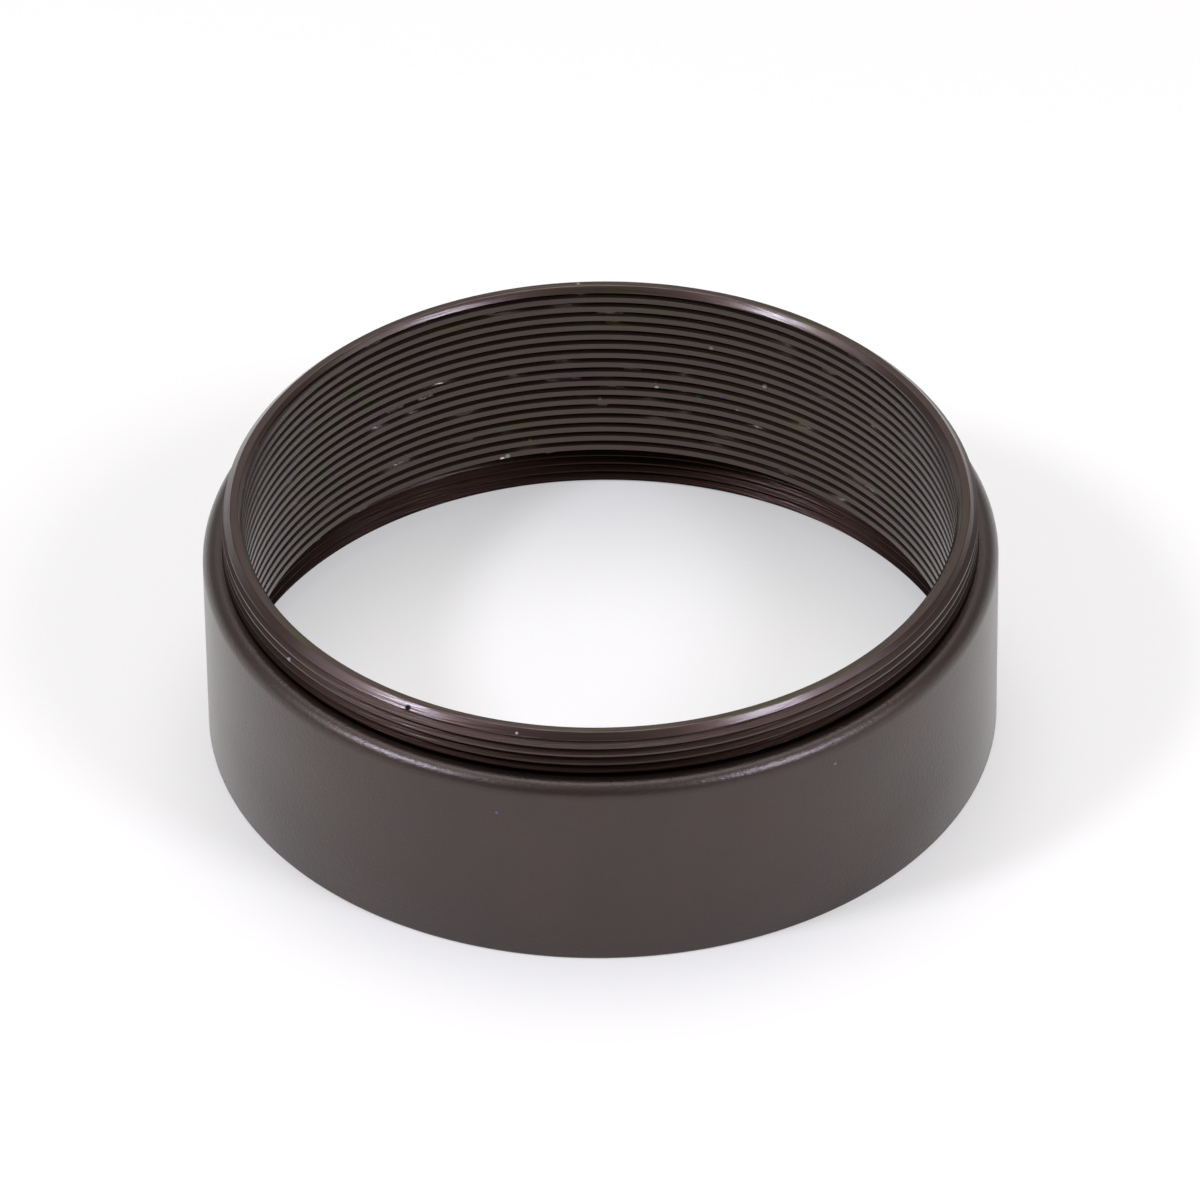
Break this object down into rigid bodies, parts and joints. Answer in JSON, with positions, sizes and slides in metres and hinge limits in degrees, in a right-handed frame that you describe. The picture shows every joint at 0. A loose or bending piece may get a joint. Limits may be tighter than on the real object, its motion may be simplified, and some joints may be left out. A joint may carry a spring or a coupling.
{
  "type": "eyepiece spacer ring",
  "caption": "Short dark ring that spaces an eyepiece accessory, with a male thread on its neck, a female thread in its base and a ribbed bore.",
  "frame": {"origin": "centre of the base face, on the ring's axis", "axes": "+Z along the axis, from the base face towards the male thread; X and Y lie across the ring"},
  "size_m": [0.0505, 0.0504, 0.0167],
  "materials": {
    "anodised_aluminium": "fine-blasted and anodised black-brown, satin"
  },
  "bodies": {
    "root": {"spacer_ring": "anodised_aluminium"}
  },
  "joints": []
}
